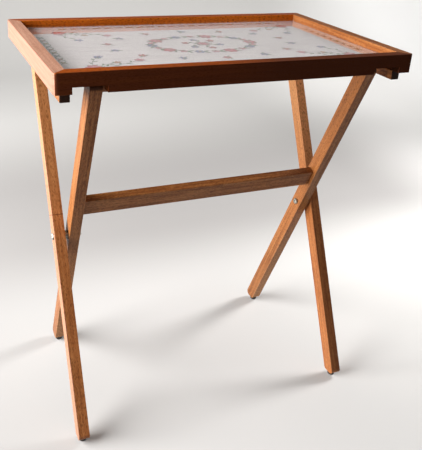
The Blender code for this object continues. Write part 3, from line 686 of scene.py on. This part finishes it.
# Screwdriver slots
SLOT_WIDTH = 1.6 * MM
SLOT_DEPTH = 1.5 * MM
SLOT_TURN = radians(35)


def cut_slot(piece, axis, sign):
    """A screwdriver slot across the end of a domed nut or a screw head that points along an axis."""
    corners = [Vector(corner) for corner in piece.bound_box]
    low = Vector([min(corner[i] for corner in corners) for i in range(3)])
    high = Vector([max(corner[i] for corner in corners) for i in range(3)])
    end = (low + high) / 2
    end[axis] = high[axis] if sign > 0 else low[axis]
    side, length = [i for i in range(3) if i != axis]
    bpy.ops.object.select_all(action="DESELECT")
    bpy.ops.mesh.primitive_cube_add(size=1.0, location=end)
    cutter = bpy.context.object
    cutter.scale[axis] = 2 * SLOT_DEPTH
    cutter.scale[side] = SLOT_WIDTH
    cutter.scale[length] = 2 * (high - low)[length]
    cutter.rotation_euler[axis] = SLOT_TURN
    slot = piece.modifiers.new("slot", "BOOLEAN")
    slot.operation = "DIFFERENCE"
    slot.object = cutter
    apply_all(piece)
    bpy.data.objects.remove(cutter)
    bpy.ops.object.shade_smooth_by_angle(angle=SMOOTH_ANGLE)
    return piece


def dress_hardware():
    """Bolts, nuts, spacers, screws and foot glides."""
    steel = plated_steel()
    nylon = moulded_nylon()
    for side in SIDES:
        for place, body in (("pivot", "inner_frame"), ("hinge", "hinge_pins")):
            for kind in ("bolt", "spacer"):
                node = f"{place}_{kind}_{side}"
                finish_piece(refined_copy(node, node + "_steel", steel), body, "pivot_steel", node)
            node = f"{place}_nut_{side}"
            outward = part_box(node)[0].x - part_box(f"{place}_bolt_{side}")[0].x
            nut = cut_slot(refined_copy(node, node + "_steel", steel), 0, outward)
            finish_piece(nut, body, "pivot_steel", node)
        for number in (1, 2, 3):
            node = f"{side}_batten_screw_{number}"
            screw = cut_slot(refined_copy(node, node + "_steel", steel), 2, -1)
            finish_piece(screw, "tray", "pivot_steel", node)
        node = f"glide_front_{side}"
        finish_piece(refined_copy(node, node + "_nylon", nylon), f"outer_leg_{side}", "glide_black", node)
        node = f"glide_back_{side}"
        finish_piece(refined_copy(node, node + "_nylon", nylon), "inner_frame", "glide_black", node)


def lay_cloth():
    """Linen sheet on the board, with the shallow waves that the glass leaves it."""
    middle = (CLOTH_LOW + CLOTH_HIGH) / 2
    size = CLOTH_HIGH - CLOTH_LOW
    bpy.ops.object.select_all(action="DESELECT")
    bpy.ops.mesh.primitive_grid_add(x_subdivisions=CLOTH_CELLS[0], y_subdivisions=CLOTH_CELLS[1], size=1.0)
    cloth = bpy.context.object
    cloth.name = "needlework_cloth"
    bpy.ops.object.mode_set(mode="EDIT")
    bpy.ops.mesh.select_all(action="SELECT")
    bpy.ops.transform.resize(value=(size.x, size.y, 1.0))
    bpy.ops.transform.translate(value=(middle.x, middle.y, CLOTH_LOW.z + CLOTH_THICKNESS))
    bpy.ops.object.mode_set(mode="OBJECT")
    for vert in cloth.data.vertices:
        wave = sin(2 * pi * vert.co.x / CLOTH_RIPPLE_LENGTH) * cos(2 * pi * vert.co.y / CLOTH_RIPPLE_LENGTH)
        vert.co.z += CLOTH_RIPPLE * (wave - 1)
    wall = cloth.modifiers.new("cloth thickness", "SOLIDIFY")
    wall.thickness = CLOTH_THICKNESS - 2 * CLOTH_RIPPLE
    wall.offset = -1.0
    apply_all(cloth)
    bpy.ops.object.shade_smooth_by_angle(angle=SMOOTH_ANGLE)
    cloth.data.materials.append(bleached_linen())
    return cloth, size


# Stitches: shares of a flower's size, and the outline and the leaves of a spray in millimetres and radians
PETAL_TAPER = 0.25
PETAL_ROOT = 0.08
PETAL_LENGTH = (0.42, 0.5)
PETAL_WIDTH = 0.36
HEART_SIZE = 0.28
HEART_RELIEF = 1.2
ROSE_PETALS = (7, 5)
ROSE_INNER = 0.55
OUTLINE = 0.8
OUTLINE_RELIEF = 0.6
LEAF_TAPER = 0.75
SPRAY_LEAF = (8.0, 4.8)
SPRAY_LEAF_GROWTH = 0.04
SPRAY_LEAF_LEAN = (0.7, 1.0)
SPRAY_LEAF_GAPS = (0.8, 0.6)
STEM_KNOTS = 4
STEM_START = 0.04


def petal_mesh(name, taper):
    """A stitched petal or leaf one unit long: a low dome with a flat back, its tip narrowed."""
    bpy.ops.object.select_all(action="DESELECT")
    bpy.ops.mesh.primitive_uv_sphere_add(segments=10, ring_count=6, radius=0.5, location=(0.5, 0.0, 0.0))
    petal = bpy.context.object
    petal.name = name
    bpy.ops.object.mode_set(mode="EDIT")
    bpy.ops.mesh.select_all(action="SELECT")
    bpy.ops.mesh.bisect(plane_co=(0.0, 0.0, 0.0), plane_no=(0.0, 0.0, 1.0), clear_inner=True, use_fill=True)
    bpy.ops.object.mode_set(mode="OBJECT")
    mesh = petal.data
    mesh.transform(Matrix.Translation((0.5, 0.0, 0.0)))
    for vert in mesh.vertices:
        vert.co.y *= 1.0 - taper * vert.co.x ** 2
    layer = mesh.uv_layers.active or mesh.uv_layers.new()
    for loop in mesh.loops:
        vert = mesh.vertices[loop.vertex_index].co
        layer.data[loop.index].uv = (vert.x, vert.y + 0.5)
    mesh.shade_smooth()
    bpy.data.objects.remove(petal)
    return mesh


class Needlework:
    """Collects stitches by thread and joins each thread's stitches into one piece."""

    def __init__(self, seed):
        self.draw = Random(seed)
        self.petal = petal_mesh("petal_stitch", PETAL_TAPER)
        self.leaf = petal_mesh("leaf_stitch", LEAF_TAPER)
        self.stitches = {}

    def stitch(self, thread, shape, x, y, heading, length, width, relief=1.0):
        """One petal or leaf with its root at x, y, in millimetres, pointing along heading."""
        mesh = shape.copy()
        lift = STITCH_LEVEL - STITCH_SINK
        place = Matrix.Translation((x * MM, y * MM, lift)) @ Matrix.Rotation(heading, 4, "Z")
        mesh.transform(place @ Matrix.Diagonal((length * MM, width * MM, 2 * STITCH_RELIEF * relief, 1.0)))
        piece = bpy.data.objects.new(thread, mesh)
        bpy.context.scene.collection.objects.link(piece)
        self.stitches.setdefault(thread, []).append(piece)

    def flower(self, x, y, thread, heart, size, petals):
        """Outlined petals round a knot."""
        turn = self.draw.uniform(0, 2 * pi)
        width = size * PETAL_WIDTH
        for index in range(petals):
            heading = turn + 2 * pi * index / petals
            root = (x + size * PETAL_ROOT * cos(heading), y + size * PETAL_ROOT * sin(heading))
            length = size * self.draw.uniform(*PETAL_LENGTH)
            rim = (length + OUTLINE, width + OUTLINE)
            self.stitch("thread_outline", self.petal, *root, heading, *rim, OUTLINE_RELIEF)
            self.stitch(thread, self.petal, *root, heading, length, width)
        knot = size * HEART_SIZE
        self.stitch(heart, self.petal, x - knot / 2, y, 0.0, knot, knot, HEART_RELIEF)

    def rose(self, outer, inner, x, y, size):
        """Two rings of petals round a small whorl."""
        self.flower(x, y, outer, inner, size, ROSE_PETALS[0])
        self.flower(x, y, inner, outer, size * ROSE_INNER, ROSE_PETALS[1])

    def stem(self, points):
        """A line of stem stitch through points in millimetres."""
        curve = bpy.data.curves.new("stem", "CURVE")
        curve.dimensions = "3D"
        curve.bevel_depth = STEM_WIDTH / 2
        curve.bevel_resolution = 1
        curve.resolution_u = 5
        curve.use_fill_caps = True
        line = curve.splines.new("BEZIER")
        line.bezier_points.add(len(points) - 1)
        for knot, (x, y) in zip(line.bezier_points, points):
            knot.co = (x * MM, y * MM, 0.0)
            knot.handle_left_type = "AUTO"
            knot.handle_right_type = "AUTO"
        piece = bpy.data.objects.new("thread_stem", curve)
        bpy.context.scene.collection.objects.link(piece)
        make_active(piece)
        bpy.ops.object.convert(target="MESH")
        flat = STEM_RELIEF / (STEM_WIDTH / 2)
        piece.data.transform(Matrix.Translation((0, 0, STITCH_LEVEL)) @ Matrix.Diagonal((1, 1, flat, 1)))
        if not piece.data.uv_layers:
            piece.data.uv_layers.new()
        self.stitches.setdefault("thread_stem", []).append(piece)

    def spray(self, x, y, heading, length, bend, leaves, bloom):
        """A bent stem with leaves on both sides and a flower at its end."""
        def along(share):
            """Place and heading at a share of the stem's length."""
            angle = heading + bend * share
            return (x + length * share * cos(angle), y + length * share * sin(angle)), angle

        # Stems from one root start a little way out, so that their ends don't coincide.
        points = [along(max(step / (STEM_KNOTS - 1), STEM_START))[0] for step in range(STEM_KNOTS)]
        self.stem(points)
        first, last = SPRAY_LEAF_GAPS
        for index in range(leaves):
            root, angle = along((index + first) / (leaves + last))
            lean = self.draw.uniform(*SPRAY_LEAF_LEAN) * (1 if index % 2 else -1)
            tone = "thread_leaf" if index % 3 else "thread_sage"
            leaf_length = SPRAY_LEAF[0] + length * SPRAY_LEAF_GROWTH
            self.stitch(tone, self.leaf, *root, angle + bend + lean, leaf_length, SPRAY_LEAF[1])
        self.flower(*points[-1], *bloom)

    def joined(self, looks):
        """One finished piece for each thread."""
        pieces = []
        for thread, parts in self.stitches.items():
            bpy.ops.object.select_all(action="DESELECT")
            for part in parts:
                part.select_set(True)
            bpy.context.view_layer.objects.active = parts[0]
            bpy.ops.object.join()
            piece = bpy.context.object
            piece.name = thread
            piece.data.materials.clear()
            piece.data.materials.append(looks[thread])
            pieces.append(piece)
        return pieces


# Layout of the needlework, in millimetres from the cloth's middle and in radians. A leaf is given by its
# length and width, a spray by its length, bend and leaves, a bloom by its thread, the thread of its heart,
# its size and its petals.
NEEDLEWORK_SEED = 7
WREATH_REACH = (92.0, 56.0)
WREATH_FLOWERS = 20
WREATH_LEAF = (15.0, 6.0)
WREATH_LEAF_STEP = 6.0
WREATH_LEANS = (-0.7, 0.6, pi - 0.5)
WREATH_ROSE = 24.0
WREATH_BLOOMS = (("thread_slate", "thread_ochre", 18.0, 6), ("thread_pink", "thread_rose", 14.0, 5))
POSY_STEMS = 6
POSY_TURN = 0.3
POSY_SPRAY = (30.0, 0.4, 4)
POSY_BLOOMS = (("thread_rose", "thread_ochre", 14.0, 5), ("thread_slate", "thread_ochre", 14.0, 5))
POSY_ROSE = 22.0
CORNER_PLACE = (224.0, 116.0)
CORNER_ROSE = 25.0
# Sprays along the long edge, along the short edge and towards the middle: length, bend, leaves and bloom
CORNER_SPRAYS = (
    (84.0, 0.35, 7, ("thread_pink", "thread_rose", 16.0, 6)),
    (62.0, -0.35, 5, ("thread_slate", "thread_ochre", 15.0, 5)),
    (46.0, 0.0, 4, ("thread_ochre", "thread_rose", 12.0, 5)),
)
BORDER_REACH = (262.0, 148.0)
BORDER_SPACING = 21.0
BORDER_GAP = 46.0
BORDER_LEAF = (12.0, 4.6)
BORDER_LEANS = (
    ("thread_leaf", 0.5), ("thread_leaf", pi - 0.5), ("thread_sage", -0.6), ("thread_sage", pi + 0.6))
BORDER_BUDS = ("thread_rose", "thread_slate", "thread_ochre")
BORDER_BUD_SIZE = 9.0
BORDER_BUD_PETALS = 4
SCATTER_REACH = (168.0, 98.0)
SCATTER_COUNT = 14
SCATTER_TURN = 0.5
SCATTER_LEAF = (14.0, 5.2)
SCATTER_LEANS = (0.4, 2.6)
SCATTER_BLOOMS = (("thread_rose", "thread_ochre", 14.0, 5), ("thread_slate", "thread_ochre", 14.0, 5))
THREADS = {
    "thread_outline": ("#443242", "#64505F"),
    "thread_rose": ("#9A2E3A", "#C2565C"),
    "thread_pink": ("#B0566A", "#D08A94"),
    "thread_slate": ("#3A4878", "#6A7AAA"),
    "thread_ochre": ("#8E5A14", "#BE8A38"),
    "thread_leaf": ("#3A5436", "#64805E"),
    "thread_sage": ("#54684F", "#7F957A"),
    "thread_stem": ("#3E4C38", "#5E6C56"),
}


def stitch_wreath(work):
    """A ring of roses and smaller flowers, each on three leaves."""
    for index in range(WREATH_FLOWERS):
        angle = 2 * pi * index / WREATH_FLOWERS
        x, y = WREATH_REACH[0] * cos(angle), WREATH_REACH[1] * sin(angle)
        heading = atan2(WREATH_REACH[1] * cos(angle), -WREATH_REACH[0] * sin(angle))
        root = (x + WREATH_LEAF_STEP * cos(heading), y + WREATH_LEAF_STEP * sin(heading))
        for lean in WREATH_LEANS:
            work.stitch("thread_leaf", work.leaf, *root, heading + lean, *WREATH_LEAF)
        if index % 4 == 0:
            work.rose("thread_rose", "thread_pink", x, y, WREATH_ROSE)
        else:
            work.flower(x, y, *WREATH_BLOOMS[index % 2])


def stitch_posy(work):
    """Short sprays from one root, with a rose over the root."""
    for index in range(POSY_STEMS):
        heading = 2 * pi * (index + POSY_TURN) / POSY_STEMS
        work.spray(0.0, 0.0, heading, *POSY_SPRAY, POSY_BLOOMS[index % 2])
    work.rose("thread_pink", "thread_rose", 0.0, 0.0, POSY_ROSE)


def stitch_corners(work):
    """In each corner a rose with three sprays."""
    for sx in (-1, 1):
        for sy in (-1, 1):
            x, y = sx * CORNER_PLACE[0], sy * CORNER_PLACE[1]
            headings = (0.0 if sx < 0 else pi, -sy * pi / 2, atan2(-y, -x))
            for heading, (length, bend, leaves, bloom) in zip(headings, CORNER_SPRAYS):
                work.spray(x, y, heading, length, bend * sx * sy, leaves, bloom)
            work.rose("thread_rose", "thread_pink", x, y, CORNER_ROSE)


def stitch_border(work):
    """A row of buds, each on four leaves, along the four edges."""
    edges = []
    for sign in (-1, 1):
        edges.append(((0.0, sign * BORDER_REACH[1]), (1.0, 0.0), BORDER_REACH[0]))
        edges.append(((sign * BORDER_REACH[0], 0.0), (0.0, 1.0), BORDER_REACH[1]))
    for (mid_x, mid_y), (run_x, run_y), reach in edges:
        half = int((reach - BORDER_GAP) / BORDER_SPACING)
        heading = atan2(run_y, run_x)
        for step in range(-half, half + 1):
            x = mid_x + step * BORDER_SPACING * run_x
            y = mid_y + step * BORDER_SPACING * run_y
            for tone, lean in BORDER_LEANS:
                work.stitch(tone, work.leaf, x, y, heading + lean, *BORDER_LEAF)
            bud = BORDER_BUDS[step % len(BORDER_BUDS)]
            work.flower(x, y, bud, "thread_pink", BORDER_BUD_SIZE, BORDER_BUD_PETALS)


def stitch_scatter(work):
    """Single blossoms with two leaves, in an oval between the wreath and the corners."""
    for index in range(SCATTER_COUNT):
        angle = 2 * pi * (index + SCATTER_TURN) / SCATTER_COUNT
        x, y = SCATTER_REACH[0] * cos(angle), SCATTER_REACH[1] * sin(angle)
        for lean in SCATTER_LEANS:
            work.stitch("thread_sage", work.leaf, x, y, angle + lean, *SCATTER_LEAF)
        work.flower(x, y, *SCATTER_BLOOMS[index % 2])


def embroider():
    """All the needlework, one piece for each thread."""
    work = Needlework(NEEDLEWORK_SEED)
    for layer in (stitch_wreath, stitch_posy, stitch_corners, stitch_border, stitch_scatter):
        layer(work)
    looks = {}
    for name, codes in THREADS.items():
        looks[name] = stranded_cotton(name.replace("thread", "stranded_cotton"), codes)
    return work.joined(looks)


def dress_tray_top():
    """Cloth, needlework, pane and board."""
    cloth, size = lay_cloth()
    finish_piece(cloth, "tray", "cloth_linen", "embroidered_cloth")
    threads = embroider()
    for piece in threads:
        finish_piece(piece, "tray", "cloth_linen")
    for node, look in (("glass_pane", window_glass()), ("backing_board", bare_plywood())):
        mesh = frame["nodes"][node].data
        mesh.materials.clear()
        mesh.materials.append(look)


# Stage, in metres: a paper sweep, pale round the table
SWEEP_FRONT = -1.7
SWEEP_BACK = 3.0
SWEEP_RADIUS = 0.8
SWEEP_TOP = 0.9
SWEEP_SIDES = (-1.6, 4.6)
SWEEP_STEPS = 14
PAPER_FIRST = "#92908E"
# Tones laid over the first one in turn: axis, where a tone starts and where it is full. They paint shade near
# the left lamp and in a band behind the table, and paint light towards the right.
PAPER_TONES = (
    ("X", -0.9, 0.1, "#B9B7B5"),
    ("X", 0.05, 0.8, "#CAC8C5"),
    ("Y", 0.2, 0.55, "#9C9997"),
    ("Y", 0.85, 1.6, "#C7C5C2"),
    ("X", 0.92, 1.65, "#EFEDEA"),
    ("Y", 2.1, 2.8, "#C6C4C1"),
    ("X", 1.6, 2.6, "#FBFAF8"),
)
PAPER_FIBRE_MM = 9.0
PAPER_RELIEF = {"Strength": 0.05, "Distance": 0.1 * MM}


def paper_look():
    """Matt backdrop paper, with painted shade where the left lamp is close and in a band behind the table,
    and painted light towards the right.
    """
    look, tree, shader = new_look("backdrop_paper", Roughness=0.95, Specular_IOR_Level=0.1)
    place = add_node(tree, "ShaderNodeTexCoord").outputs["Object"]
    axes = add_node(tree, "ShaderNodeSeparateXYZ", {"Vector": place}).outputs
    colour = linear(PAPER_FIRST)
    for axis, start, full, tone in PAPER_TONES:
        share = add_node(tree, "ShaderNodeMapRange", {
            "Value": axes[axis], "From Min": start, "From Max": full},
            interpolation_type="SMOOTHSTEP").outputs[0]
        mixed = add_node(tree, "ShaderNodeMix", {
            MIX_SHARE: share, MIX_UNDER: colour, MIX_OVER: linear(tone)}, data_type="RGBA")
        colour = mixed.outputs[MIX_COLOUR]
    tree.links.new(colour, shader.inputs["Base Color"])
    fibre = add_node(tree, "ShaderNodeTexNoise", {
        "Vector": place, "Scale": per_mm(PAPER_FIBRE_MM), "Detail": 2.0}).outputs["Fac"]
    bump = add_node(tree, "ShaderNodeBump", {"Height": fibre, **PAPER_RELIEF})
    tree.links.new(bump.outputs[0], shader.inputs["Normal"])
    return look


def build_stage():
    """Floor and backdrop in one sheet of paper: a plane with its back edge drawn up and the fold rounded."""
    bpy.ops.object.select_all(action="DESELECT")
    bpy.ops.mesh.primitive_plane_add(size=1.0)
    sweep = bpy.context.object
    sweep.name = "paper_sweep"
    left, right = SWEEP_SIDES
    bpy.ops.object.mode_set(mode="EDIT")
    bpy.ops.mesh.select_all(action="SELECT")
    bpy.ops.transform.resize(value=(right - left, SWEEP_BACK - SWEEP_FRONT, 1.0))
    bpy.ops.transform.translate(value=((left + right) / 2, (SWEEP_FRONT + SWEEP_BACK) / 2, 0.0))
    bpy.ops.object.mode_set(mode="OBJECT")

    def at_fold(*ends):
        return all(abs(end.y - SWEEP_BACK) < NEAR and abs(end.z) < NEAR for end in ends)

    select_edges(sweep, at_fold)
    bpy.ops.mesh.extrude_region_move(TRANSFORM_OT_translate={"value": (0.0, 0.0, SWEEP_TOP)})
    bpy.ops.object.mode_set(mode="OBJECT")
    round_edges(sweep, at_fold, SWEEP_RADIUS, SWEEP_STEPS)
    sweep.data.shade_smooth()
    sweep.data.materials.append(paper_look())


# Lamps: power in watts, size and place in metres, spread in degrees
LAMPS = {
    "left_softbox": {"power": 128.0, "size": (1.6, 1.6), "place": (-1.7, 0.1, 0.95), "aim": (0.0, 0.0, 0.45),
                     "spread": 180},
    "right_pool": {"power": 14.0, "size": (0.6, 0.6), "place": (2.1, 0.25, 1.1), "aim": (0.75, 0.1, 0.0),
                   "spread": 75},
    "backdrop_strip": {"power": 36.5, "size": (5.6, 0.6), "place": (1.8, 1.1, 2.2), "aim": (1.8, 2.2, 0.0),
                       "spread": 110},
}
# World: its strength as light, in mirrors, and where it is seen straight or through glass
WORLD_COLOUR = "#DCD9D6"
WORLD_LIGHT = 0.06
WORLD_MIRRORED = 0.5
WORLD_SEEN = 0.8


def light_stage():
    """Lamps and the world."""
    for name, lamp in LAMPS.items():
        data = bpy.data.lights.new(name, "AREA")
        data.shape = "RECTANGLE"
        data.size, data.size_y = lamp["size"]
        data.energy = lamp["power"]
        data.spread = radians(lamp["spread"])
        item = bpy.data.objects.new(name, data)
        item.location = lamp["place"]
        aim = Vector(lamp["aim"]) - Vector(lamp["place"])
        item.rotation_euler = aim.to_track_quat("-Z", "Y").to_euler()
        item.visible_camera = False
        bpy.context.scene.collection.objects.link(item)
    world = bpy.data.worlds.new("studio")
    bpy.context.scene.world = world
    world.use_nodes = True
    tree = world.node_tree
    sky = tree.nodes["Background"]
    sky.inputs["Color"].default_value = linear(WORLD_COLOUR)
    path = add_node(tree, "ShaderNodeLightPath")
    seen = add_node(tree, "ShaderNodeMath", {
        0: path.outputs["Is Camera Ray"], 1: path.outputs["Is Transmission Ray"]}, operation="MAXIMUM")
    unseen = add_node(tree, "ShaderNodeMix", {
        MIX_SHARE: path.outputs["Is Glossy Ray"], MIX_FIRST: WORLD_LIGHT, MIX_SECOND: WORLD_MIRRORED})
    level = add_node(tree, "ShaderNodeMix", {
        MIX_SHARE: seen.outputs[0], MIX_FIRST: unseen.outputs[0], MIX_SECOND: WORLD_SEEN})
    tree.links.new(level.outputs[0], sky.inputs["Strength"])


def place_camera():
    """Camera at the photograph's place."""
    data = bpy.data.cameras.new("photograph")
    data.lens = CAMERA_LENS_MM
    data.sensor_width = SENSOR_MM
    data.shift_x, data.shift_y = CAMERA_SHIFT
    camera = bpy.data.objects.new("photograph", data)
    turn = Matrix.Rotation(-CAMERA_YAW, 4, "Z") @ Matrix.Rotation(pi / 2 - CAMERA_PITCH, 4, "X")
    camera.matrix_world = Matrix.Translation(CAMERA_PLACE) @ turn @ Matrix.Rotation(CAMERA_ROLL, 4, "Z")
    bpy.context.scene.collection.objects.link(camera)
    bpy.context.scene.camera = camera


place_camera()
build_stage()
light_stage()
dress_wood()
dress_hardware()
dress_tray_top()
bpy.context.scene.view_settings.view_transform = "Standard"
